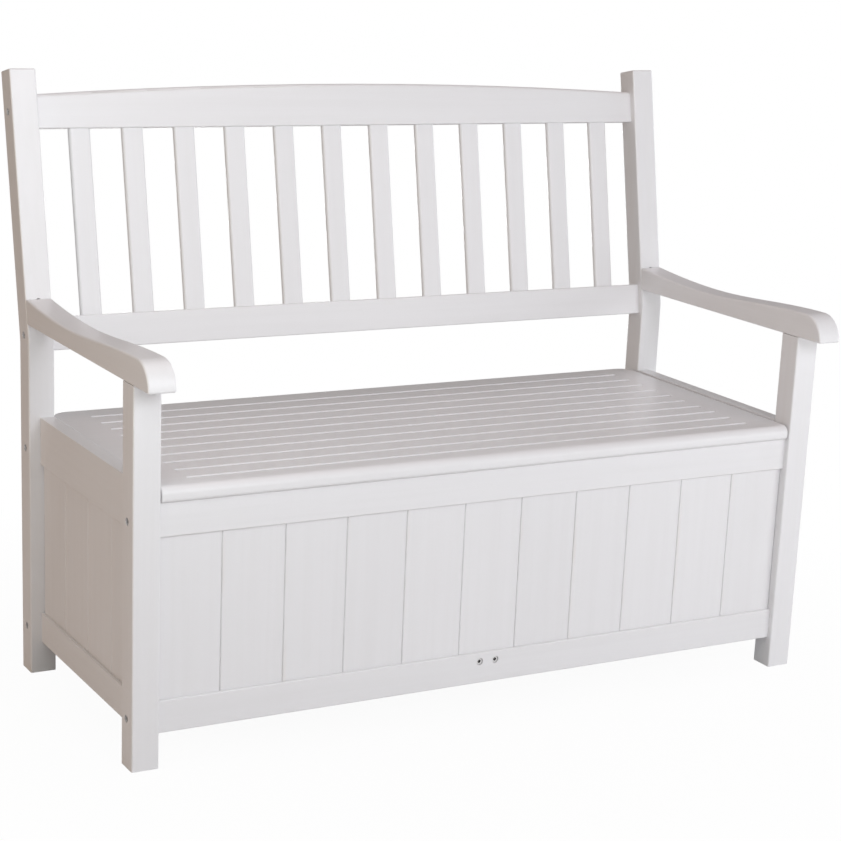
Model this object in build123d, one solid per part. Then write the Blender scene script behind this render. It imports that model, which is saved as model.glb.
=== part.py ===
from build123d import *
import math
import os

# Sizes are in millimetres. X runs along the bench, Y from front to back, Z upwards.
# The origin is on the floor, under the middle of the whole bench.

# Overall sizes
bench_width = 1140
side_depth = 464
back_height = 913
seat_height = 403
armrest_underside = 545
floor_clearance = 48

# Legs: the rear legs bend back at the knee and carry on as the posts of the back rest
leg_width = 40
front_leg_depth = 40
rear_leg_depth = 40
knee_height = 520
rake_angle = 11
knee_radius = 60
leg_edge_radius = 2.5

# Armrests: a flat underside, a quarter round nose and a dipped top
armrest_thickness = 40
armrest_waist = 28
armrest_overhang = 52
waist_position = 235
armrest_edge_radius = 3
armrest_end_radius = 2.5

# Rails of the box
box_rail_height = 48
box_rail_thickness = 25
box_rail_setback = 9
side_rail_thickness = 23
side_rail_rise = 1.8
side_rail_edge_radius = 1
side_rail_foot_radius = 2.5
rail_edge_radius = 2

# Tongued and grooved boards of the panels, and the grooves that hold their ends
board_width = 96
board_thickness = 9
board_setback = 5
board_bevel = 1.2
board_gap = 0.4
tongue_length = 5
tongue_thickness = 3
panel_groove_depth = 9
board_end_play = 1
joint_play = 0.15

# Back rest
back_rail_thickness = 18
lower_rail_height = 50
lower_rail_drop = 14
top_rail_end_height = 50.5
top_rail_rise = 15
top_rail_edge_radius = 6
post_above_rail = 36
slat_width = 34
slat_thickness = 10
slat_gap = 50
slat_edge_flat = 1
tenon_length = 12

# Lid
lid_thickness = 22
lid_side_gap = 2
lid_front_setback = 1
lid_rest_gap = 0.3
lid_corner_radius = 26
lid_nose_share = 0.55
lid_lower_share = 0.27
lid_edge_radius = 2
lid_groove_width = 8
lid_groove_depth = 2.5
lid_groove_pitch = 41
lid_groove_front_margin = 41
lid_groove_rear_margin = 40
lid_groove_end_margin = 51
batten_width = 40
batten_thickness = 18
batten_spread = 600
batten_end_gap = 20
batten_screw_margin = 35

# Hinges: one leaf on the back of the rear top rail, one under the lid
hinge_count = 3
hinge_end_distance = 150
hinge_length = 60
hinge_leaf_width = 25
hinge_leaf_thickness = 1.5
knuckle_radius = 3.5
knuckle_count = 5
knuckle_gap = 0.3
knuckle_clearance = 0.4
hinge_leaf_gap = 0.5
pin_radius = 1.75
pin_play = 0.05
hinge_screw_spacing = 20
hinge_screw_edge_distance = 10

# Floor
floor_support_drop = 4
bearer_width = 50
bearer_height = 20
cleat_thickness = 15
floor_gap = 5
cleat_end_gap = 1

# Bolts through the legs, with barrel nuts in the rails
bolt_diameter = 6
bolt_head_diameter = 10
bolt_head_height = 5
bolt_recess = 3
bolt_socket = 5
socket_depth_share = 0.7
barrel_nut_diameter = 10
barrel_nut_length = 12
barrel_nut_setback = 35
bolt_past_nut = 4
bore_play = 0.5

# Dowels and wood screws
dowel_diameter = 8
dowel_length = 28
dowel_edge_distance = 14
dowel_slot_show = 0.5
bearer_screw_diameter = 5
bearer_screw_length = 60
bearer_screw_spacing = 27
bearer_head_diameter = 10
bearer_head_height = 4
bearer_head_recess = 2
wood_screw_diameter = 4
wood_screw_head = 8
floor_screw_length = 25
batten_screw_length = 30
hinge_screw_diameter = 3.5
hinge_screw_head = 6.5
hinge_screw_length = 16
screw_play = 0.1

# Places worked out from the sizes above
rake = math.radians(rake_angle)
half_width = bench_width / 2
inner_half = half_width - leg_width
leg_middle = half_width - leg_width / 2
post_length = (back_height - knee_height) / math.cos(rake)
post_reach = post_length * math.sin(rake) + rear_leg_depth * math.cos(rake)
overall_depth = armrest_overhang + side_depth - rear_leg_depth + post_reach
front_face = armrest_overhang - overall_depth / 2
back_face = front_face + side_depth
front_leg_back = front_face + front_leg_depth
post_front = back_face - rear_leg_depth

bottom_rail_top = floor_clearance + box_rail_height
lid_underside = seat_height - lid_thickness
rear_rail_top = lid_underside - hinge_leaf_thickness - hinge_leaf_gap
top_rail_bottom = rear_rail_top - box_rail_height
front_rail_top = lid_underside - lid_rest_gap

front_rail_front = front_face + box_rail_setback
front_rail_back = front_rail_front + box_rail_thickness
rear_rail_back = back_face - box_rail_setback
rear_rail_front = rear_rail_back - box_rail_thickness
side_rail_outer = inner_half + side_rail_thickness
side_rail_middle = inner_half + side_rail_thickness / 2
side_rail_top = seat_height + side_rail_rise

board_bottom = bottom_rail_top - panel_groove_depth + board_end_play
board_top = top_rail_bottom + panel_groove_depth - board_end_play

lid_half = inner_half - lid_side_gap
lid_front = front_face + lid_front_setback
lid_rear = rear_rail_back

hinge_y = rear_rail_back + knuckle_radius + knuckle_clearance
hinge_z = lid_underside - knuckle_radius - knuckle_clearance

floor_support_top = bottom_rail_top - floor_support_drop
bearer_middle = floor_support_top - bearer_height / 2

# The back rest is drawn upright from the knee, then laid back by the rake
raked = Pos(0, post_front, knee_height) * Rot(-rake_angle, 0, 0)
back_rail_front = (rear_leg_depth - back_rail_thickness) / 2
lower_rail_top = lower_rail_height - lower_rail_drop
top_rail_end = post_length - post_above_rail
top_rail_foot = top_rail_end - top_rail_end_height

base = (Align.CENTER, Align.CENTER, Align.MIN)


def block(x, y, z):
    """A block between two places along each axis."""
    size = [high - low for low, high in (x, y, z)]
    middle = [(low + high) / 2 for low, high in (x, y, z)]
    return Pos(*middle) * Box(*size)


def eased_block(x, y, z, axis, radius):
    """A block whose edges along one axis are rounded."""
    plain = block(x, y, z)
    return fillet(plain.edges().filter_by(axis), radius)


def rod(start, direction, length, radius):
    """A round rod from a point along a direction."""
    return Plane(origin=start, z_dir=direction) * Cylinder(radius, length, align=base)


def across(middle, direction, length, radius):
    """A round rod that reaches equally far to both sides of a point."""
    return Plane(origin=middle, z_dir=direction) * Cylinder(radius, length)


def on_rake(up, behind):
    """The Y and Z of a point of the posts, measured along the rake from the knee."""
    y = post_front + up * math.sin(rake) + behind * math.cos(rake)
    z = knee_height + up * math.cos(rake) - behind * math.sin(rake)
    return y, z


def mirrored(shape):
    """The same piece on the left side of the bench."""
    return mirror(shape, Plane.YZ)


def both_sides(pieces):
    """Pieces of the right side, with their mirrored twins."""
    return pieces + [mirrored(piece) for piece in pieces]


# Wood screws: the head starts at the local origin and the shank runs along local +Z


def countersunk_screw(diameter, head, length, head_height, play=0):
    """A countersunk wood screw, or with play the hole that takes it."""
    cone = Cone(head / 2 + play, diameter / 2 + play, head_height, align=base)
    return cone + Cylinder(diameter / 2 + play, length + play, align=base)


def wood_screw(length, play=0):
    """The screw of the floor and of the battens, whose head is as deep as a cone of 45 degrees."""
    head_height = (wood_screw_head - wood_screw_diameter) / 2
    return countersunk_screw(wood_screw_diameter, wood_screw_head, length, head_height, play)


def hinge_screw(play=0):
    """The screw of a hinge leaf, whose head fills the thickness of the leaf."""
    return countersunk_screw(hinge_screw_diameter, hinge_screw_head, hinge_screw_length,
                             hinge_leaf_thickness, play)


def socket_screw(diameter, length, head, head_height, socket):
    """A cylinder head screw with a hexagon socket, from the top of its head."""
    body = Cylinder(head / 2, head_height, align=base)
    body += Pos(0, 0, head_height) * Cylinder(diameter / 2, length, align=base)
    hexagon = RegularPolygon(socket / 2, 6, major_radius=False)
    return body - extrude(hexagon, head_height * socket_depth_share)


def drill(piece, places, tool):
    """Cuts one tool out of a piece at every place."""
    for place in places:
        piece -= place * tool
    return piece


# Places of the fasteners
rail_heights = {
    "bottom": floor_clearance + box_rail_height / 2,
    "top": top_rail_bottom + box_rail_height / 2,
}
front_bolts = [(front_rail_front + box_rail_thickness / 2, z) for z in rail_heights.values()]
rear_bolts = [(rear_rail_front + box_rail_thickness / 2, z) for z in rail_heights.values()]
back_bolts = [
    on_rake(lower_rail_top - lower_rail_height / 2, rear_leg_depth / 2),
    on_rake(top_rail_end - top_rail_end_height / 2, rear_leg_depth / 2),
]
forward = (0, -1, 0)
backward = (0, 1, 0)
out_of_back = (0, math.cos(rake), -math.sin(rake))
bolt_seats = [(bolt, backward) for bolt in front_bolts]
bolt_seats += [(bolt, forward) for bolt in rear_bolts]
bolt_seats += [(bolt, out_of_back) for bolt in back_bolts]
bolt_depth = bolt_recess + bolt_head_height
bolt_length = leg_width - bolt_depth + barrel_nut_setback + barrel_nut_diameter / 2 + bolt_past_nut
nut_x = inner_half - barrel_nut_setback


def bolt_place(bolt, recess):
    """The place of a bolt in the right leg, its head turned outwards."""
    return Plane(origin=(half_width - recess, *bolt), z_dir=(-1, 0, 0))


def drill_leg_bolts(leg, bolts):
    """Recessed holes for the heads, and clear holes through the leg, for bolts of the right leg."""
    head_hole = Cylinder(bolt_head_diameter / 2 + bore_play, bolt_depth, align=base)
    shank_hole = Cylinder(bolt_diameter / 2 + bore_play, leg_width, align=base)
    return drill(leg, [bolt_place(bolt, 0) for bolt in bolts], head_hole + shank_hole)


def drill_rail_end(rail, bolt, open_side, rail_thickness):
    """Holes for the bolts and their barrel nuts in both ends of a rail."""
    depth = rail_thickness / 2 + barrel_nut_length / 2
    reach = leg_width + bolt_length
    start = [place + side * rail_thickness / 2 for place, side in zip((nut_x, *bolt), (0, *open_side[1:]))]
    inward = [-side for side in open_side]
    holes = [rod((half_width, *bolt), (-1, 0, 0), reach, bolt_diameter / 2 + bore_play)]
    holes.append(rod(start, inward, depth + joint_play, barrel_nut_diameter / 2 + joint_play))
    for hole in both_sides(holes):
        rail -= hole
    return rail


side_dowel_heights = [
    floor_clearance + dowel_edge_distance,
    bottom_rail_top - dowel_edge_distance,
    top_rail_bottom + dowel_edge_distance,
    side_rail_top - dowel_edge_distance,
]
side_dowels = [(side_rail_middle, y, z) for y in (front_leg_back, post_front) for z in side_dowel_heights]
leg_top_dowel = (leg_middle, front_face + front_leg_depth / 2, armrest_underside)
arm_end_height = armrest_underside + armrest_thickness / 2
arm_end_up = (arm_end_height - knee_height) / math.cos(rake)
arm_end_dowel = (leg_middle, *on_rake(arm_end_up, 0))

# The dipped top of an armrest climbs from its waist to the middle of the post
arm_top = armrest_underside + armrest_thickness
arm_waist_y = front_face + waist_position
arm_rear_y = on_rake((arm_top - knee_height) / math.cos(rake), rear_leg_depth / 2)[0]
arm_slope = 2 * (armrest_thickness - armrest_waist) / (arm_rear_y - arm_waist_y)
arm_top_at_post = arm_top - arm_slope * rear_leg_depth / 2 * math.cos(rake)

# The hole of the armrest's dowel in the post is a slot, whose top shows just above the armrest
slot_top = (arm_top_at_post + dowel_slot_show - knee_height) / math.cos(rake)
slot_rise = slot_top - arm_end_up - dowel_diameter / 2 - joint_play
slot_end = (leg_middle, *on_rake(arm_end_up + slot_rise, 0))
slot_middle = (leg_middle, *on_rake(arm_end_up + slot_rise / 2, 0))


def dowel_hole(middle, direction):
    """A hole for one dowel, half in each of the two pieces it joins."""
    return across(middle, direction, dowel_length + 2 * board_end_play, dowel_diameter / 2 + joint_play)


# Legs


def rear_leg_blank():
    """The right rear leg before its edges are eased and its holes are drilled."""
    back_knee = knee_height - rear_leg_depth * math.tan(rake / 2)
    corners = [
        (post_front, 0),
        (back_face, 0),
        (back_face, back_knee),
        on_rake(post_length, rear_leg_depth),
        on_rake(post_length, 0),
        (post_front, knee_height),
    ]
    outline = Polyline([(inner_half, *corner) for corner in corners], close=True)
    leg = extrude(make_face(outline), leg_width, dir=(1, 0, 0))
    knees = leg.edges().filter_by(Axis.X).sort_by(Axis.Z)[2:4]
    return fillet(knees, knee_radius)


def rear_leg():
    """The right rear leg, eased, with its bolt holes and the holes of the side rails and armrest."""
    leg = rear_leg_blank()
    rims = leg.faces().sort_by(Axis.X)[0].edges() + leg.faces().sort_by(Axis.X)[-1].edges()
    rims += leg.edges().filter_by(Axis.X).sort_by(Axis.Z)[-2:]
    eased = [edge for edge in rims if edge.center().Z > leg_edge_radius]
    leg = fillet(eased, leg_edge_radius)
    leg = drill_leg_bolts(leg, rear_bolts + back_bolts)
    for middle in side_dowels:
        leg -= dowel_hole(middle, backward)
    slot = Box(dowel_diameter + 2 * joint_play, dowel_length + 2 * board_end_play, slot_rise)
    leg -= Pos(*slot_middle) * Rot(-rake_angle, 0, 0) * slot
    return leg - dowel_hole(arm_end_dowel, out_of_back) - dowel_hole(slot_end, out_of_back)


def front_leg():
    """The right front leg, which carries the nose end of the armrest."""
    leg = eased_block((inner_half, half_width), (front_face, front_leg_back), (0, armrest_underside),
                      Axis.Z, leg_edge_radius)
    leg = drill_leg_bolts(leg, front_bolts)
    for middle in side_dowels:
        leg -= dowel_hole(middle, backward)
    return leg - dowel_hole(leg_top_dowel, (0, 0, 1))


def armrest():
    """The right armrest: flush with the legs, cut at the rear to the rake of the post."""
    low = armrest_underside
    nose = front_face - armrest_overhang
    nose_top = nose + armrest_thickness
    diagonal = armrest_thickness * math.sqrt(0.5)

    def point(y, z):
        return (inner_half, y, z)

    outline = [
        Line(point(arm_rear_y, low), point(nose, low)),
        ThreePointArc(point(nose, low), point(nose_top - diagonal, low + diagonal), point(nose_top, arm_top)),
        Spline(point(nose_top, arm_top), point(arm_waist_y, low + armrest_waist), point(arm_rear_y, arm_top),
               tangents=((0, 1, 0), (0, 1, arm_slope))),
        Line(point(arm_rear_y, arm_top), point(arm_rear_y, low)),
    ]
    arm = extrude(make_face(outline), leg_width, dir=(1, 0, 0))
    rims = arm.faces().sort_by(Axis.X)[0].edges() + arm.faces().sort_by(Axis.X)[-1].edges()
    eased = [edge for edge in rims if edge.center().Y < arm_rear_y - armrest_edge_radius]
    eased.append(arm.edges().filter_by(Axis.X).sort_by(Axis.Y)[0])
    arm = fillet(eased, armrest_edge_radius) - rear_leg_blank()
    arm = fillet(arm.faces().sort_by(Axis.Y)[-1].edges(), armrest_end_radius)
    return arm - dowel_hole(leg_top_dowel, (0, 0, 1)) - dowel_hole(arm_end_dowel, out_of_back)


# Rails of the box


def long_rail(front, back, bottom, top):
    """A rail between the left and right legs."""
    return eased_block((-inner_half, inner_half), (front, back), (bottom, top), Axis.X, rail_edge_radius)


def board_groove(outer_face, inward, bottom, top):
    """The groove along a long rail that holds the ends of the boards."""
    near = outer_face + inward * (board_setback - joint_play)
    far = outer_face + inward * (board_setback + board_thickness + joint_play)
    return block((-inner_half, inner_half), sorted((near, far)), (bottom, top))


def bearer_screw_places():
    """Two screws through each of the front and rear bottom rails into the ends of the floor bearer."""
    places = []
    for x in (-bearer_screw_spacing / 2, bearer_screw_spacing / 2):
        places.append(Plane(origin=(x, front_rail_front, bearer_middle), z_dir=backward))
        places.append(Plane(origin=(x, rear_rail_back, bearer_middle), z_dir=forward))
    return places


def bearer_screw_hole():
    """The recess and the hole of one bearer screw, from the face of the rail."""
    seat = bearer_head_recess + bearer_head_height
    hole = Cylinder(bearer_head_diameter / 2 + bore_play, seat, align=base)
    return hole + Cylinder(bearer_screw_diameter / 2 + screw_play, seat + bearer_screw_length, align=base)


def front_rail(level):
    """The front rail at the top or bottom of the front panel."""
    bolt = front_bolts[0] if level == "bottom" else front_bolts[1]
    if level == "bottom":
        rail = long_rail(front_rail_front, front_rail_back, floor_clearance, bottom_rail_top)
        rail -= board_groove(front_rail_front, 1, bottom_rail_top - panel_groove_depth, bottom_rail_top)
        rail = drill(rail, bearer_screw_places(), bearer_screw_hole())
    else:
        rail = long_rail(front_rail_front, front_rail_back, top_rail_bottom, front_rail_top)
        rail -= board_groove(front_rail_front, 1, top_rail_bottom, top_rail_bottom + panel_groove_depth)
    return drill_rail_end(rail, bolt, backward, box_rail_thickness)


def rear_rail(level):
    """The rear rail at the top or bottom of the rear panel. The upper one carries the hinges."""
    bolt = rear_bolts[0] if level == "bottom" else rear_bolts[1]
    if level == "bottom":
        rail = long_rail(rear_rail_front, rear_rail_back, floor_clearance, bottom_rail_top)
        rail -= board_groove(rear_rail_back, -1, bottom_rail_top - panel_groove_depth, bottom_rail_top)
        rail = drill(rail, bearer_screw_places(), bearer_screw_hole())
    else:
        rail = long_rail(rear_rail_front, rear_rail_back, top_rail_bottom, rear_rail_top)
        rail -= board_groove(rear_rail_back, -1, top_rail_bottom, top_rail_bottom + panel_groove_depth)
        rail = drill(rail, hinge_frame_screw_places(), hinge_screw(screw_play))
    return drill_rail_end(rail, bolt, forward, box_rail_thickness)


def side_rail(bottom, top, groove_bottom, groove_top):
    """A rail between the front and rear legs of the right side, rounder along its underside."""
    rail = block((inner_half, side_rail_outer), (front_leg_back, post_front), (bottom, top))
    rail = fillet(rail.edges().filter_by(Axis.Y).group_by(Axis.Z)[-1], side_rail_edge_radius)
    rail = fillet(rail.edges().filter_by(Axis.Y).group_by(Axis.Z)[0], side_rail_foot_radius)
    outer = side_rail_outer - board_setback + joint_play
    inner = side_rail_outer - board_setback - board_thickness - joint_play
    rail -= block((inner, outer), (front_leg_back, post_front), (groove_bottom, groove_top))
    for middle in side_dowels:
        rail -= dowel_hole(middle, backward)
    return rail


def side_bottom_rail():
    """The right bottom rail, with pilot holes for the screws of the floor cleat."""
    rail = side_rail(floor_clearance, bottom_rail_top, bottom_rail_top - panel_groove_depth, bottom_rail_top)
    return drill(rail, cleat_screw_places(), wood_screw(floor_screw_length, screw_play))


# Panels of upright boards


def panel_boards(span):
    """Boards side by side along local X, their outer faces at local Y zero."""
    count = max(1, round(span / board_width))
    pitch = span / count
    tongue_front = (board_thickness - tongue_thickness) / 2
    tongue_back = tongue_front + tongue_thickness
    height = (board_bottom, board_top)
    boards = []
    for index in range(count):
        left = -span / 2 + index * pitch + board_gap / 2
        right = left + pitch - board_gap
        board = block((left, right), (0, board_thickness), height)
        face_edges = board.edges().filter_by(Axis.Z).group_by(Axis.Y)[0]
        board = chamfer(face_edges, board_bevel)
        if index < count - 1:
            board += block((right, right + tongue_length), (tongue_front, tongue_back), height)
        if index > 0:
            slot = (tongue_front - joint_play, tongue_back + joint_play)
            board -= block((left, left + tongue_length), slot, height)
        boards.append(board)
    return boards


def front_boards():
    """The boards of the front panel, from left to right."""
    return [Pos(0, front_rail_front + board_setback, 0) * board for board in panel_boards(2 * inner_half)]


def rear_boards():
    """The boards of the rear panel, their good faces turned to the rear."""
    place = Pos(0, rear_rail_back - board_setback, 0) * Rot(0, 0, 180)
    return [place * board for board in panel_boards(2 * inner_half)]


def side_boards():
    """The boards of the right side panel."""
    middle = (front_leg_back + post_front) / 2
    place = Pos(side_rail_outer - board_setback, middle, 0) * Rot(0, 0, 90)
    return [place * board for board in panel_boards(post_front - front_leg_back)]


# Back rest

slat_count = max(1, round((2 * inner_half - slat_gap) / (slat_width + slat_gap)))
slat_pitch = (2 * inner_half + slat_width) / (slat_count + 1)
slat_middles = [-inner_half - slat_width / 2 + slat_pitch * (index + 1) for index in range(slat_count)]
slat_edge_radius = (slat_thickness - slat_edge_flat) / 2
slat_front = (rear_leg_depth - slat_thickness) / 2
slat_back = slat_front + slat_thickness


def mortises(bottom, top):
    """The round-cornered slots in a back rail for the ends of the slats, before the rail is laid back."""
    half = slat_width / 2 + joint_play
    deep = (slat_front - joint_play, slat_back + joint_play)
    corner = slat_edge_radius + joint_play
    return [eased_block((middle - half, middle + half), deep, (bottom, top), Axis.Z, corner)
            for middle in slat_middles]


def back_lower_rail():
    """The lower rail of the back rest."""
    rail = eased_block((-inner_half, inner_half), (back_rail_front, back_rail_front + back_rail_thickness),
                       (-lower_rail_drop, lower_rail_top), Axis.X, rail_edge_radius)
    for mortise in mortises(lower_rail_top - tenon_length - board_end_play, lower_rail_top):
        rail -= mortise
    return drill_rail_end(raked * rail, back_bolts[0], out_of_back, back_rail_thickness)


def back_top_rail():
    """The top rail of the back rest, with its arched and rounded upper edge."""
    def point(x, up):
        return (x, back_rail_front, up)

    outline = [
        Line(point(-inner_half, top_rail_foot), point(inner_half, top_rail_foot)),
        Line(point(inner_half, top_rail_foot), point(inner_half, top_rail_end)),
        ThreePointArc(point(inner_half, top_rail_end), point(0, top_rail_end + top_rail_rise),
                      point(-inner_half, top_rail_end)),
        Line(point(-inner_half, top_rail_end), point(-inner_half, top_rail_foot)),
    ]
    rail = extrude(make_face(outline), back_rail_thickness, dir=(0, 1, 0))
    rail = fillet(rail.edges().filter_by(GeomType.CIRCLE), top_rail_edge_radius)
    rail = fillet(rail.edges().filter_by(Axis.X).sort_by(Axis.Z)[:2], rail_edge_radius)
    for mortise in mortises(top_rail_foot, top_rail_foot + tenon_length + board_end_play):
        rail -= mortise
    return drill_rail_end(raked * rail, back_bolts[1], out_of_back, back_rail_thickness)


def back_slat(middle):
    """One slat of the back rest, its two ends let into the rails."""
    side = (middle - slat_width / 2, middle + slat_width / 2)
    height = (lower_rail_top - tenon_length, top_rail_foot + tenon_length)
    return raked * eased_block(side, (slat_front, slat_back), height, Axis.Z, slat_edge_radius)


# Lid


def batten_middles():
    """The places of the two battens along the lid."""
    return (-batten_spread / 2, batten_spread / 2)


def batten_screw_places(middle):
    """Three screws through one batten, driven upwards into the lid."""
    front = front_rail_back + batten_end_gap
    back = rear_rail_front - batten_end_gap
    underside = lid_underside - batten_thickness
    rows = (front + batten_screw_margin, (front + back) / 2, back - batten_screw_margin)
    return [Plane(origin=(middle, y, underside), z_dir=(0, 0, 1)) for y in rows]


def lid_batten(middle):
    """A batten under the lid, between the front and rear rails."""
    batten = eased_block((middle - batten_width / 2, middle + batten_width / 2),
                         (front_rail_back + batten_end_gap, rear_rail_front - batten_end_gap),
                         (lid_underside - batten_thickness, lid_underside), Axis.Y, rail_edge_radius)
    return drill(batten, batten_screw_places(middle), wood_screw(batten_screw_length, screw_play))


def lid_panel():
    """The lid: a wide panel with a rounded front edge and stopped grooves along its top."""
    nose = lid_nose_share * lid_thickness
    lower = lid_lower_share * lid_thickness
    panel = block((-lid_half, lid_half), (lid_front, lid_rear), (lid_underside, seat_height))
    panel = fillet(panel.edges().filter_by(Axis.Z).sort_by(Axis.Y)[2:], lid_corner_radius)
    panel = fillet(panel.edges().filter_by(Axis.X).group_by(Axis.Z)[-1].sort_by(Axis.Y)[0], nose)
    panel = fillet(panel.edges().filter_by(Axis.X).group_by(Axis.Z)[0].sort_by(Axis.Y)[0], lower)
    behind_nose = lid_front + nose + lid_edge_radius
    rim = [edge for edge in panel.faces().sort_by(Axis.Z)[-1].edges() if edge.center().Y > behind_nose]
    panel = fillet(rim, lid_edge_radius)
    room = lid_rear - lid_front - lid_groove_front_margin - lid_groove_rear_margin
    groove_length = 2 * (lid_half - lid_groove_end_margin)
    groove = extrude(SlotOverall(groove_length, lid_groove_width), -lid_groove_depth)
    for index in range(int(room // lid_groove_pitch) + 1):
        y = lid_front + lid_groove_front_margin + index * lid_groove_pitch
        panel -= Pos(0, y, seat_height) * groove
    for middle in batten_middles():
        panel = drill(panel, batten_screw_places(middle), wood_screw(batten_screw_length, screw_play))
    return drill(panel, hinge_lid_screw_places(), hinge_screw(screw_play))


# Hinges, drawn about a pin along X at the local origin

hinge_half_spread = lid_half - hinge_end_distance
hinge_pitch = 2 * hinge_half_spread / (hinge_count - 1)
hinge_middles = [index * hinge_pitch - hinge_half_spread for index in range(hinge_count)]
knuckle_length = hinge_length / knuckle_count


def knuckle(index, radius, length):
    """One knuckle of a hinge, or the room that it needs in the other leaf."""
    middle = (index + 0.5) * knuckle_length - hinge_length / 2
    return across((middle, 0, 0), (1, 0, 0), length, radius)


def hinge_leaf(plate, first):
    """A leaf with every second knuckle, cleared around the knuckles of the other leaf."""
    for index in range(knuckle_count):
        if index % 2 == first:
            plate += knuckle(index, knuckle_radius, knuckle_length - knuckle_gap)
        else:
            plate -= knuckle(index, knuckle_radius + knuckle_clearance, knuckle_length + knuckle_gap)
    return plate - across((0, 0, 0), (1, 0, 0), 2 * hinge_length, pin_radius + pin_play)


def hinge_screw_offsets():
    """The places of the screws along a leaf."""
    return (-hinge_screw_spacing, 0, hinge_screw_spacing)


screw_drop = hinge_leaf_width - hinge_screw_edge_distance
leaf_face = knuckle_radius + knuckle_clearance


def hinge_frame_screw_places():
    """Screws through the frame leaves, driven forwards into the rear top rail."""
    y = rear_rail_back + hinge_leaf_thickness
    return [Plane(origin=(middle + offset, y, hinge_z - screw_drop), z_dir=forward)
            for middle in hinge_middles for offset in hinge_screw_offsets()]


def hinge_lid_screw_places():
    """Screws through the lid leaves, driven upwards into the lid."""
    z = lid_underside - hinge_leaf_thickness
    return [Plane(origin=(middle + offset, hinge_y - screw_drop, z), z_dir=(0, 0, 1))
            for middle in hinge_middles for offset in hinge_screw_offsets()]


def hinge_frame_leaves():
    """The leaves on the back of the rear top rail."""
    along = (-hinge_length / 2, hinge_length / 2)
    plate = block(along, (-leaf_face, -leaf_face + hinge_leaf_thickness), (-hinge_leaf_width, 0))
    leaf = hinge_leaf(plate, 0)
    leaves = [Pos(middle, hinge_y, hinge_z) * leaf for middle in hinge_middles]
    return [drill(one, hinge_frame_screw_places(), hinge_screw(screw_play)) for one in leaves]


def hinge_lid_leaves():
    """The leaves under the lid."""
    along = (-hinge_length / 2, hinge_length / 2)
    plate = block(along, (-hinge_leaf_width, 0), (leaf_face - hinge_leaf_thickness, leaf_face))
    leaf = hinge_leaf(plate, 1)
    leaves = [Pos(middle, hinge_y, hinge_z) * leaf for middle in hinge_middles]
    return [drill(one, hinge_lid_screw_places(), hinge_screw(screw_play)) for one in leaves]


def hinge_pins():
    """The pins that the knuckles turn on."""
    return [across((middle, hinge_y, hinge_z), (1, 0, 0), hinge_length, pin_radius)
            for middle in hinge_middles]


# Floor of the box

floor_front = front_rail_back + floor_gap / 2
floor_room = rear_rail_front - front_rail_back - floor_gap
floor_count = max(1, round(floor_room / board_width))
floor_pitch = floor_room / floor_count
floor_middles = [floor_front + (index + 0.5) * floor_pitch for index in range(floor_count)]
cleat_inner = inner_half - cleat_thickness


def floor_screw_places():
    """A screw through every floor board into each cleat and into the bearer."""
    top = floor_support_top + board_thickness
    columns = (-cleat_inner - cleat_thickness / 2, 0, cleat_inner + cleat_thickness / 2)
    return [Plane(origin=(x, y, top), z_dir=(0, 0, -1)) for x in columns for y in floor_middles]


def cleat_screw_places():
    """Screws through the right cleat into the side rail, between the screws of the floor."""
    joints = [y + floor_pitch / 2 for y in floor_middles[:-1]]
    return [Plane(origin=(cleat_inner, y, bearer_middle), z_dir=(1, 0, 0)) for y in joints]


def floor_boards():
    """The boards of the floor, which run along the bench with gaps between them."""
    half = inner_half - floor_gap / 2
    boards = []
    for middle in floor_middles:
        side = (middle - floor_pitch / 2 + floor_gap / 2, middle + floor_pitch / 2 - floor_gap / 2)
        board = eased_block((-half, half), side, (floor_support_top, floor_support_top + board_thickness),
                            Axis.X, board_bevel)
        boards.append(drill(board, floor_screw_places(), wood_screw(floor_screw_length, screw_play)))
    return boards


def floor_bearer():
    """The bearer under the middle of the floor, screwed between the bottom rails."""
    bearer = eased_block((-bearer_width / 2, bearer_width / 2), (front_rail_back, rear_rail_front),
                         (floor_support_top - bearer_height, floor_support_top), Axis.Y, rail_edge_radius)
    bearer = drill(bearer, bearer_screw_places(), bearer_screw_hole())
    return drill(bearer, floor_screw_places(), wood_screw(floor_screw_length, screw_play))


def floor_cleat():
    """The right cleat, which carries the ends of the floor boards."""
    cleat = eased_block((cleat_inner, inner_half),
                        (front_leg_back + cleat_end_gap, post_front - cleat_end_gap),
                        (floor_support_top - bearer_height, floor_support_top), Axis.Y, rail_edge_radius)
    cleat = drill(cleat, cleat_screw_places(), wood_screw(floor_screw_length, screw_play))
    return drill(cleat, floor_screw_places(), wood_screw(floor_screw_length, screw_play))


# Fasteners


def leg_bolts():
    """One bolt at each end of every long rail."""
    bolt = socket_screw(bolt_diameter, bolt_length, bolt_head_diameter, bolt_head_height, bolt_socket)
    return both_sides([bolt_place(seat, bolt_recess) * bolt for seat, _ in bolt_seats])


def barrel_nuts():
    """The cross nuts in the rails, each with the hole that its bolt passes through."""
    nuts = []
    for seat, open_side in bolt_seats:
        nut = across((nut_x, *seat), open_side, barrel_nut_length, barrel_nut_diameter / 2)
        nuts.append(nut - across((nut_x, *seat), (1, 0, 0), 2 * barrel_nut_diameter,
                                 bolt_diameter / 2 + joint_play))
    return both_sides(nuts)


def dowels():
    """The dowels between side rails and legs, and between armrests and legs."""
    radius = dowel_diameter / 2
    pieces = [across(middle, backward, dowel_length, radius) for middle in side_dowels]
    pieces.append(across(leg_top_dowel, (0, 0, 1), dowel_length, radius))
    pieces.append(across(arm_end_dowel, out_of_back, dowel_length, radius))
    return both_sides(pieces)


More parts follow.
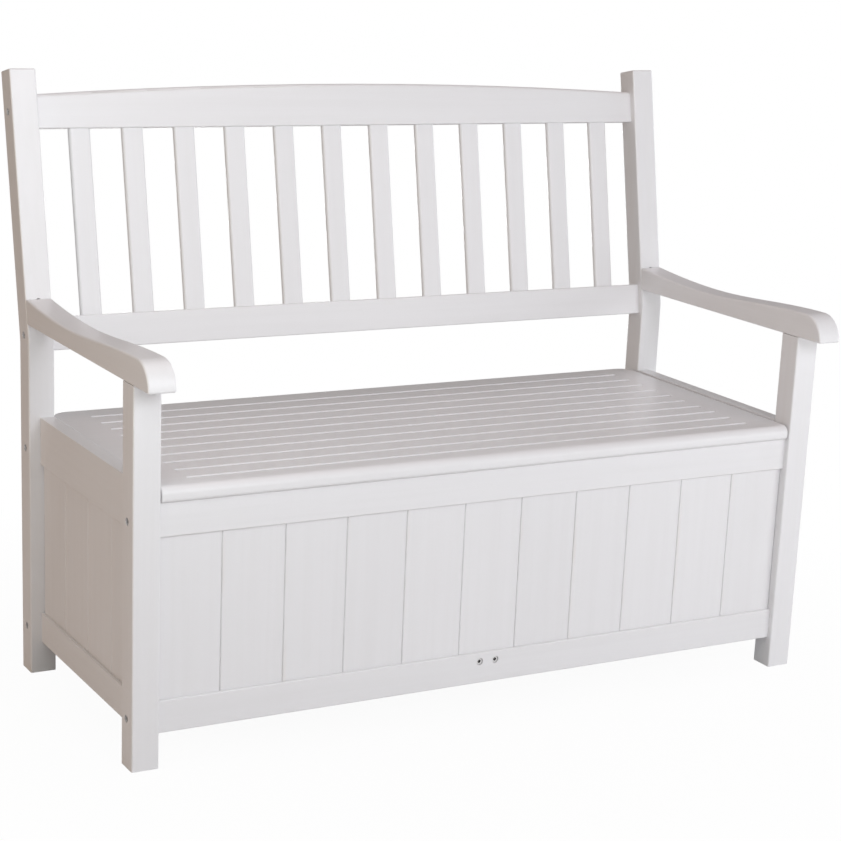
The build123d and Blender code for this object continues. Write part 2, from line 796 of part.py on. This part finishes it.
def bearer_screws():
    """The screws that hold the floor bearer, their heads just below the face of the rails."""
    screw = socket_screw(bearer_screw_diameter, bearer_screw_length, bearer_head_diameter,
                         bearer_head_height, bolt_socket)
    return [place * Pos(0, 0, bearer_head_recess) * screw for place in bearer_screw_places()]


def floor_screws():
    """The screws of the floor boards and of the cleats."""
    screw = wood_screw(floor_screw_length)
    return [place * screw for place in floor_screw_places()] + both_sides(
        [place * screw for place in cleat_screw_places()])


def batten_screws():
    """The screws of the two battens."""
    screw = wood_screw(batten_screw_length)
    return [place * screw for middle in batten_middles() for place in batten_screw_places(middle)]


# Nodes


def group(pieces):
    """Several separate solids kept as one node."""
    return Compound(children=pieces)


def numbered(name, pieces):
    """Nodes with a running number for pieces of one kind."""
    return {f"{name}_{index:02d}": piece for index, piece in enumerate(pieces, 1)}


def pair(name, right):
    """The right and the left node of a piece that the bench has twice."""
    return {f"{name}_left": mirrored(right), f"{name}_right": right}


side_top = side_rail(top_rail_bottom, side_rail_top, top_rail_bottom, top_rail_bottom + panel_groove_depth)
right_boards = side_boards()
nodes = {
    **pair("rear_leg", rear_leg()),
    **pair("front_leg", front_leg()),
    **pair("armrest", armrest()),
    "front_top_rail": front_rail("top"),
    "front_bottom_rail": front_rail("bottom"),
    "rear_top_rail": rear_rail("top"),
    "rear_bottom_rail": rear_rail("bottom"),
    **pair("side_top_rail", side_top),
    **pair("side_bottom_rail", side_bottom_rail()),
    **numbered("front_board", front_boards()),
    "rear_boards": group(rear_boards()),
    "side_boards_left": group([mirrored(board) for board in right_boards]),
    "side_boards_right": group(right_boards),
    "back_top_rail": back_top_rail(),
    "back_lower_rail": back_lower_rail(),
    **numbered("back_slat", [back_slat(middle) for middle in slat_middles]),
    "floor_bearer": floor_bearer(),
    **pair("floor_cleat", floor_cleat()),
    "floor_boards": group(floor_boards()),
    "lid_panel": lid_panel(),
    "lid_batten_left": lid_batten(batten_middles()[0]),
    "lid_batten_right": lid_batten(batten_middles()[1]),
    "hinge_frame_leaves": group(hinge_frame_leaves()),
    "hinge_lid_leaves": group(hinge_lid_leaves()),
    "hinge_pins": group(hinge_pins()),
    "hinge_frame_screws": group([place * hinge_screw() for place in hinge_frame_screw_places()]),
    "hinge_lid_screws": group([place * hinge_screw() for place in hinge_lid_screw_places()]),
    "batten_screws": group(batten_screws()),
    "bearer_screws": group(bearer_screws()),
    "floor_screws": group(floor_screws()),
    "leg_bolts": group(leg_bolts()),
    "barrel_nuts": group(barrel_nuts()),
    "dowels": group(dowels()),
}

os.makedirs("parts", exist_ok=True)
for name, shape in nodes.items():
    export_step(shape, f"parts/{name}.step")
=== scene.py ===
import math

import bpy
from mathutils import Matrix, Vector

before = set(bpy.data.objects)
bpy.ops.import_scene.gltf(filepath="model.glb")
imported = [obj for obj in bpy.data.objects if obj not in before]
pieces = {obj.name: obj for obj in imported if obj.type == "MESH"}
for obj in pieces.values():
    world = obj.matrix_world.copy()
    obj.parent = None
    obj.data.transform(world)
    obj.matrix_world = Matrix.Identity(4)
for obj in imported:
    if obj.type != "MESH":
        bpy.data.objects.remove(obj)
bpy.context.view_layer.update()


# Legs
# Four square posts of planed softwood. The rear pair is sawn with a bend and carries on as the back's posts.
# They are sprayed with white satin paint, so the grain only shows as faint upright lines under the coat.
leg_names = ["rear_leg_left", "rear_leg_right", "front_leg_left", "front_leg_right"]
paint_white = (0.815, 0.81, 0.82)
primer_tan = (0.66, 0.58, 0.47)


def shader_node(tree, kind, settings, sockets):
    """One node of a finish, with its settings, and its sockets either set or linked."""
    made = tree.nodes.new("ShaderNode" + kind)
    for key, value in settings.items():
        setattr(made, key, value)
    for key, value in sockets.items():
        if isinstance(value, bpy.types.NodeSocket):
            tree.links.new(value, made.inputs[key])
        else:
            made.inputs[key].default_value = value
    return made


def two_tone(tree, factor, low, high, low_colour, high_colour):
    """A colour that changes from one tone to another as a texture's value rises."""
    ramp = shader_node(tree, "ValToRGB", {}, {"Fac": factor})
    ramp.color_ramp.elements[0].position = low
    ramp.color_ramp.elements[1].position = high
    ramp.color_ramp.elements[0].color = (*low_colour, 1)
    ramp.color_ramp.elements[1].color = (*high_colour, 1)
    return ramp.outputs["Color"]


def between(tree, value, low, high, to_low, to_high):
    """A value moved from one range to another and held inside it."""
    sockets = {0: value, 1: low, 2: high, 3: to_low, 4: to_high}
    return shader_node(tree, "MapRange", {"clamp": True}, sockets).outputs["Result"]


def new_finish(name, row_start=(0, 0, 0), row_pitch=(0, 0, 0)):
    """A new finish and its shader, with a place and a chance of their own for each piece or row."""
    finish = bpy.data.materials.new(name)
    finish.use_nodes = True
    tree = finish.node_tree
    place = shader_node(tree, "TexCoord", {}, {}).outputs["Object"]
    along_rows = shader_node(tree, "VectorMath", {"operation": "SUBTRACT"},
                             {0: place, 1: row_start}).outputs[0]
    row = shader_node(tree, "VectorMath", {"operation": "SNAP"}, {0: along_rows, 1: row_pitch}).outputs[0]
    piece = shader_node(tree, "ObjectInfo", {}, {}).outputs["Random"]
    own = shader_node(tree, "TexWhiteNoise", {"noise_dimensions": "4D"}, {"Vector": row, "W": piece}).outputs
    spread = shader_node(tree, "VectorMath", {"operation": "SCALE"},
                         {0: own["Color"], "Scale": 23.0}).outputs[0]
    own_place = shader_node(tree, "VectorMath", {"operation": "ADD"}, {0: place, 1: spread}).outputs[0]
    return finish, tree, tree.nodes["Principled BSDF"], own_place, own["Value"]


def white_paint(name, along, lean=0.0, coat=0.34, grain_depth=0.1, rows=((0, 0, 0), (0, 0, 0))):
    """White satin paint over softwood, whose grain runs along one axis, or leans back from it."""
    finish, tree, shader, own_place, chance = new_finish(name, *rows)
    upright = shader_node(tree, "Mapping", {}, {"Vector": own_place, "Rotation": (lean, 0, 0)}).outputs[0]
    stretch = [2.2 if axis == along else 85.0 for axis in "XYZ"]
    fibres = shader_node(tree, "Mapping", {}, {"Vector": upright, "Scale": stretch}).outputs[0]
    grain = shader_node(tree, "TexNoise", {}, {"Vector": fibres, "Scale": 1.0, "Detail": 6.0,
                                               "Roughness": 0.62}).outputs[0]
    pores = shader_node(tree, "TexNoise", {}, {"Vector": fibres, "Scale": 6.0, "Detail": 3.0,
                                               "Roughness": 0.7}).outputs[0]
    cloud = shader_node(tree, "TexNoise", {}, {"Vector": own_place, "Scale": 8.0, "Detail": 3.0}).outputs[0]
    spray = shader_node(tree, "TexNoise", {}, {"Vector": own_place, "Scale": 650.0, "Detail": 2.0}).outputs[0]

    thin = [value * 0.994 for value in paint_white]
    full = [value * 1.006 for value in paint_white]
    tone = two_tone(tree, spray, 0.3, 0.7, thin, full)
    lines = two_tone(tree, grain, 0.34, 0.6, (0.982, 0.981, 0.979), (1.0, 1.0, 1.0))
    coated = shader_node(tree, "MixRGB", {"blend_type": "MULTIPLY"}, {0: 1.0, 1: tone, 2: lines}).outputs[0]
    batch = between(tree, chance, 0.0, 1.0, 0.985, 1.01)
    batched = shader_node(tree, "HueSaturation", {}, {"Value": batch, "Color": coated}).outputs[0]
    inside = shader_node(tree, "AmbientOcclusion", {"inside": True, "samples": 4},
                         {"Distance": 0.005}).outputs["AO"]
    edges = between(tree, inside, 0.25, 0.62, 1.0, 0.0)
    rubbing = between(tree, cloud, 0.5, 0.78, 0.0, 0.3)
    rubbed = shader_node(tree, "Math", {"operation": "MULTIPLY"}, {0: edges, 1: rubbing}).outputs[0]
    colour = shader_node(tree, "MixRGB", {}, {0: rubbed, 1: batched, 2: (*primer_tan, 1)}).outputs[0]
    tree.links.new(colour, shader.inputs["Base Color"])

    sheen = between(tree, cloud, 0.1, 0.9, coat - 0.03, coat + 0.05)
    tree.links.new(sheen, shader.inputs["Roughness"])
    rounded = shader_node(tree, "Bevel", {"samples": 4}, {"Radius": 0.0003}).outputs[0]
    peel = shader_node(tree, "Bump", {}, {"Strength": 0.05, "Distance": 0.0004, "Height": spray,
                                          "Normal": rounded}).outputs[0]
    fine = shader_node(tree, "Bump", {}, {"Strength": grain_depth * 0.5, "Distance": 0.0003, "Height": pores,
                                          "Normal": peel}).outputs[0]
    raised = shader_node(tree, "Bump", {}, {"Strength": grain_depth, "Distance": 0.0007, "Height": grain,
                                            "Normal": fine}).outputs[0]
    tree.links.new(raised, shader.inputs["Normal"])
    return finish


def finish_pieces(names, finish):
    """Gives carried pieces their finish in place of the plain one they came with."""
    for name in names:
        pieces[name].data.materials.clear()
        pieces[name].data.materials.append(finish)


finish_pieces(leg_names, white_paint("leg_paint", "Z"))


# Armrests
# One sawn and moulded piece on each side, with a dipped top and a quarter round nose, dowelled to the legs.
# The same white coat, a little flatter in its gloss, over grain that runs from front to back.
armrest_names = ["armrest_left", "armrest_right"]
finish_pieces(armrest_names, white_paint("armrest_paint", "Y", coat=0.37))


# Rails of the box
# Planed rails between the legs, grooved along their inner edges for the boards.
# The long ones are bolted through the legs into barrel nuts, the short side ones are dowelled.
long_rail_names = ["front_top_rail", "front_bottom_rail", "rear_top_rail", "rear_bottom_rail"]
side_rail_names = ["side_top_rail_left", "side_top_rail_right",
                   "side_bottom_rail_left", "side_bottom_rail_right"]
finish_pieces(long_rail_names, white_paint("long_rail_paint", "X"))
finish_pieces(side_rail_names, white_paint("side_rail_paint", "Y"))


# Panel boards
# Tongued and grooved boards with bevelled edges, which stand loose in the grooves of the rails.
# Each was painted before it was fitted, so the coat differs slightly from one board to the next.
long_row_count = 11
short_row_count = 4
front_board_names = [f"front_board_{number:02d}" for number in range(1, long_row_count + 1)]
rear_board_names = ["rear_boards"]
side_board_names = ["side_boards_left", "side_boards_right"]


def board_rows(name, axis, count):
    """Where the row of boards in one piece starts, and the step from one board to the next."""
    places = [corner[axis] for corner in pieces[name].bound_box]
    start = [0.0, 0.0, 0.0]
    pitch = [0.0, 0.0, 0.0]
    start[axis] = min(places)
    pitch[axis] = (max(places) - min(places)) / count
    return start, pitch


rear_rows = board_rows("rear_boards", 0, long_row_count)
side_rows = board_rows("side_boards_left", 1, short_row_count)
board_coat = 0.36
board_grain = 0.14
front_board_paint = white_paint("front_board_paint", "Z", coat=board_coat, grain_depth=board_grain)
rear_board_paint = white_paint("rear_board_paint", "Z", coat=board_coat, grain_depth=board_grain,
                               rows=rear_rows)
side_board_paint = white_paint("side_board_paint", "Z", coat=board_coat, grain_depth=board_grain,
                               rows=side_rows)
finish_pieces(front_board_names, front_board_paint)
finish_pieces(rear_board_names, rear_board_paint)
finish_pieces(side_board_names, side_board_paint)


# Back rest
# An arched top rail and a straight lower rail with slats let into slots, laid back with the posts.
# The rails' grain runs along the bench and the slats' grain up the back.
back_lean = math.radians(11)
back_rail_names = ["back_top_rail", "back_lower_rail"]
slat_count = 12
slat_names = [f"back_slat_{number:02d}" for number in range(1, slat_count + 1)]
finish_pieces(back_rail_names, white_paint("back_rail_paint", "X", grain_depth=0.2))
finish_pieces(slat_names, white_paint("slat_paint", "Z", lean=back_lean))


# Lid
# A glued panel with a rounded front edge and ten routed grooves, stiffened by two battens screwed on below.
# Painted white all over, with the grain along the bench.
lid_names = ["lid_panel"]
batten_names = ["lid_batten_left", "lid_batten_right"]
finish_pieces(lid_names, white_paint("lid_paint", "X", coat=0.32, grain_depth=0.05))
finish_pieces(batten_names, white_paint("batten_paint", "Y", grain_depth=0.2))


# Floor of the box
# Thin boards along the bench, screwed down to a bearer in the middle and to a cleat at each end.
# They get a single coat, so their grain stands up more.
floor_names = ["floor_boards"]
support_names = ["floor_bearer", "floor_cleat_left", "floor_cleat_right"]
floor_board_count = 4
floor_rows = board_rows("floor_boards", 1, floor_board_count)
finish_pieces(floor_names, white_paint("box_floor_paint", "X", coat=0.4, grain_depth=0.3, rows=floor_rows))
finish_pieces(support_names, white_paint("support_paint", "Y", coat=0.4, grain_depth=0.3))


# Hinges
# Three butt hinges of pressed steel strip with rolled knuckles and a plain pin, bright zinc plated.
# The strip keeps fine rolling lines along its length.
hinge_names = ["hinge_frame_leaves", "hinge_lid_leaves", "hinge_pins"]
zinc_bright = (0.66, 0.67, 0.68)
zinc_dull = (0.5, 0.51, 0.53)


def coated_steel(name, dull, bright, stretch, scratch_depth):
    """Steel with a thin metal coat, cloudy in tone, with fine lines across the stretched direction."""
    finish, tree, shader, own_place = new_finish(name)[:4]
    lined = shader_node(tree, "Mapping", {}, {"Vector": own_place, "Scale": stretch}).outputs[0]
    lines = shader_node(tree, "TexNoise", {}, {"Vector": lined, "Scale": 1.0, "Detail": 4.0,
                                               "Roughness": 0.7}).outputs[0]
    cloud = shader_node(tree, "TexNoise", {}, {"Vector": own_place, "Scale": 140.0, "Detail": 3.0}).outputs[0]
    tone = two_tone(tree, cloud, 0.35, 0.65, dull, bright)
    tree.links.new(tone, shader.inputs["Base Color"])
    tree.links.new(between(tree, lines, 0.3, 0.7, 0.26, 0.44), shader.inputs["Roughness"])
    shader.inputs["Metallic"].default_value = 1.0
    rounded = shader_node(tree, "Bevel", {"samples": 4}, {"Radius": 0.0003}).outputs[0]
    scratched = shader_node(tree, "Bump", {}, {"Strength": scratch_depth, "Distance": 0.0002, "Height": lines,
                                               "Normal": rounded}).outputs[0]
    tree.links.new(scratched, shader.inputs["Normal"])
    return finish


finish_pieces(hinge_names, coated_steel("hinge_zinc", zinc_dull, zinc_bright, (25.0, 2400.0, 2400.0), 0.25))


# Bolts and screws
# Blackened socket head bolts with barrel nuts join the long rails to the legs.
# The bearer screws have heads enamelled to match the paint, with painted shade darkening their sockets.
# Zinc plated wood screws hold the floor, battens and hinges.
blackened_names = ["leg_bolts"]
black_bright = (0.09, 0.083, 0.075)
black_dull = (0.04, 0.037, 0.034)
enamelled_names = ["bearer_screws"]
plated_names = ["barrel_nuts", "floor_screws", "batten_screws", "hinge_frame_screws", "hinge_lid_screws"]
enamel_white = (0.8, 0.79, 0.78)
# A near-black colour painted into the deep corners of socket recesses as shade.
socket_painted_shade = (0.03, 0.027, 0.025)


def enamel_with_painted_shade(name):
    """White enamel on steel, with painted shade in the deep corners of a socket where little light reaches.
    """
    finish, tree, shader, own_place = new_finish(name)[:4]
    flow = shader_node(tree, "TexNoise", {}, {"Vector": own_place, "Scale": 420.0, "Detail": 3.0}).outputs[0]
    open_to_light = shader_node(tree, "AmbientOcclusion", {"samples": 8}, {"Distance": 0.006}).outputs["AO"]
    # Painted shade: where the socket is deep and enclosed, the enamel gives way to the near-black colour.
    outside_painted_shade = between(tree, open_to_light, 0.42, 0.56, 0.0, 1.0)
    thin = [value * 0.95 for value in enamel_white]
    tone = two_tone(tree, flow, 0.35, 0.65, thin, enamel_white)
    colour = shader_node(tree, "MixRGB", {}, {0: outside_painted_shade, 1: (*socket_painted_shade, 1), 2: tone}).outputs[0]
    tree.links.new(colour, shader.inputs["Base Color"])
    tree.links.new(between(tree, flow, 0.3, 0.7, 0.3, 0.45), shader.inputs["Roughness"])
    rippled = shader_node(tree, "Bump", {}, {"Strength": 0.1, "Distance": 0.0003, "Height": flow}).outputs[0]
    tree.links.new(rippled, shader.inputs["Normal"])
    return finish


turned_lines = (900.0, 900.0, 900.0)
finish_pieces(enamelled_names, enamel_with_painted_shade("bolt_enamel_painted_shade"))
finish_pieces(blackened_names, coated_steel("bolt_black", black_dull, black_bright, turned_lines, 0.15))
finish_pieces(plated_names, coated_steel("screw_zinc", zinc_dull, zinc_bright, turned_lines, 0.15))


# Dowels
# Turned beech pins, glued into the ends of the side rails and under the armrests.
# They are left bare, and only show if the bench is taken apart.
dowel_names = ["dowels"]
beech_pale = (0.68, 0.49, 0.31)
beech_fleck = (0.5, 0.33, 0.19)


def bare_beech(name, stretch):
    """Bare beech with short dark flecks along its grain."""
    finish, tree, shader, own_place = new_finish(name)[:4]
    fibres = shader_node(tree, "Mapping", {}, {"Vector": own_place, "Scale": stretch}).outputs[0]
    flecks = shader_node(tree, "TexNoise", {}, {"Vector": fibres, "Scale": 1.0, "Detail": 5.0,
                                                "Roughness": 0.7}).outputs[0]
    tone = two_tone(tree, flecks, 0.38, 0.6, beech_fleck, beech_pale)
    tree.links.new(tone, shader.inputs["Base Color"])
    tree.links.new(between(tree, flecks, 0.3, 0.7, 0.75, 0.6), shader.inputs["Roughness"])
    raised = shader_node(tree, "Bump", {}, {"Strength": 0.3, "Distance": 0.0003, "Height": flecks}).outputs[0]
    tree.links.new(raised, shader.inputs["Normal"])
    return finish


finish_pieces(dowel_names, bare_beech("dowel_beech", (500.0, 60.0, 500.0)))


# Studio floor
# A wide sheet of white paper under the bench. Seen by the camera it is nearly white by itself,
# and around the bench it keeps enough of the lamps' light to hold the soft shadow.
paper_half = 14.0
paper_mesh = bpy.data.meshes.new("studio_floor")
paper_level = -0.0005
paper_corners = [(-paper_half, -paper_half, paper_level), (paper_half, -paper_half, paper_level),
                 (paper_half, paper_half, paper_level), (-paper_half, paper_half, paper_level)]
paper_mesh.from_pydata(paper_corners, [], [(0, 1, 2, 3)])
paper = bpy.data.objects.new("studio_floor", paper_mesh)
bpy.context.scene.collection.objects.link(paper)
paper_finish = bpy.data.materials.new("studio_paper")
paper_finish.use_nodes = True
paper_tree = paper_finish.node_tree
paper_tree.nodes.clear()


def seen_directly(tree):
    """One for what the camera sees by itself, nought for all the light that falls on the bench."""
    return shader_node(tree, "LightPath", {}, {}).outputs["Is Camera Ray"]


paper_place = shader_node(paper_tree, "TexCoord", {}, {}).outputs["Object"]
paper_reach = shader_node(paper_tree, "VectorMath", {"operation": "LENGTH"},
                          {0: paper_place}).outputs["Value"]
paper_fade = between(paper_tree, paper_reach, 0.4, 1.1, 0.95, 1.0)
paper_seen = seen_directly(paper_tree)
paper_glow = shader_node(paper_tree, "Math", {"operation": "MULTIPLY"},
                         {0: paper_seen, 1: paper_fade}).outputs[0]
paper_white = shader_node(paper_tree, "Emission", {}, {"Color": (1, 1, 1, 1), "Strength": 1.0}).outputs[0]
paper_plain = shader_node(paper_tree, "BsdfDiffuse", {}, {"Color": (0.86, 0.86, 0.86, 1)}).outputs[0]
paper_mix = shader_node(paper_tree, "MixShader", {},
                        {0: paper_glow, 1: paper_plain, 2: paper_white}).outputs[0]
shader_node(paper_tree, "OutputMaterial", {}, {"Surface": paper_mix})
paper_mesh.materials.append(paper_finish)


# Studio light
# A large soft lamp high in front with a small one beside it for the gloss, and one overhead.
# A low one by the right end lights the box, and one above the left arm lights the back rest.
# A warm one stands far left, a cool one far right and a plain one low behind.
room = bpy.data.worlds.new("studio_room")
bpy.context.scene.world = room
room.use_nodes = True
room_tree = room.node_tree
room_tree.nodes.clear()
room_grey = shader_node(room_tree, "Background", {},
                        {"Color": (1.0, 0.95, 0.88, 1), "Strength": 0.175}).outputs[0]
room_white = shader_node(room_tree, "Background", {}, {"Color": (1, 1, 1, 1), "Strength": 1.0}).outputs[0]
room_mix = shader_node(room_tree, "MixShader", {}, {0: seen_directly(room_tree), 1: room_grey,
                                                    2: room_white}).outputs[0]
shader_node(room_tree, "OutputWorld", {}, {"Surface": room_mix})


def soft_lamp(name, place, aim, width, height, power, colour):
    """A studio lamp behind a sheet of diffuser, turned to a point."""
    lamp = bpy.data.lights.new(name, "AREA")
    lamp.shape = "RECTANGLE"
    lamp.size = width
    lamp.size_y = height
    lamp.energy = power
    lamp.color = colour
    holder = bpy.data.objects.new(name, lamp)
    holder.location = place
    holder.rotation_euler = (Vector(aim) - Vector(place)).to_track_quat("-Z", "Y").to_euler()
    bpy.context.scene.collection.objects.link(holder)


soft_lamp("front_lamp", (0.2, -3.8, 2.2), (0.0, 0.0, 0.45), 1.4, 1.4, 55.0, (0.92, 0.94, 1.0))
soft_lamp("top_lamp", (0.0, 0.0, 3.5), (0.0, 0.0, 0.4), 2.5, 2.5, 20.0, (1.0, 0.81, 0.82))
soft_lamp("box_lamp", (1.2, -1.4, 0.5), (0.5, -0.25, 0.25), 0.8, 0.8, 4.6, (1.0, 1.0, 1.0))
soft_lamp("back_lamp", (-1.1, -1.0, 1.3), (-0.5, 0.6, 1.6), 1.4, 1.4, 9.8, (0.97, 1.0, 0.98))
soft_lamp("warm_lamp", (-3.4, 0.3, 0.9), (-0.5, 0.0, 0.4), 2.0, 2.0, 10.0, (1.0, 0.5, 0.16))
soft_lamp("far_lamp", (3.5, 0.0, 1.0), (0.5, 0.0, 0.4), 2.0, 2.0, 40.0, (0.84, 0.92, 1.0))
soft_lamp("rear_lamp", (0.8, 3.6, 0.2), (0.0, 0.2, 0.22), 1.6, 0.34, 24.0, (0.97, 0.98, 1.0))
soft_lamp("glint_lamp", (2.0, -3.3, 1.8), (0.0, -0.2, 0.5), 0.5, 0.5, 3.0, (1.0, 1.0, 1.0))


# Camera
# Set where the photograph was taken from, in front of the bench's left end and above its back.
# The lens shift only places the bench in the square frame as the photograph has it.
camera_data = bpy.data.cameras.new("photo_camera")
camera = bpy.data.objects.new("photo_camera", camera_data)
bpy.context.scene.collection.objects.link(camera)
view_forward = Vector((0.4777, 0.8364, -0.2687)).normalized()
view_right = Vector((0.8735, -0.485, 0.0429))
view_right = (view_right - view_forward * view_right.dot(view_forward)).normalized()
view_up = view_right.cross(view_forward)
turned = Matrix((view_right, view_up, -view_forward)).transposed().to_4x4()
camera_place = (-1.5579, -2.7727, 1.162)
camera.matrix_world = Matrix.Translation(camera_place) @ turned
camera_data.sensor_width = 36.0
camera_data.lens = 90.1
camera_data.shift_x = -0.0136
camera_data.shift_y = 0.0916
camera_data.clip_end = 60.0
bpy.context.scene.camera = camera
bpy.context.scene.view_settings.view_transform = "Standard"


# Scene update
# The view layer is updated once all pieces, lamps and the camera are in place.
bpy.context.view_layer.update()
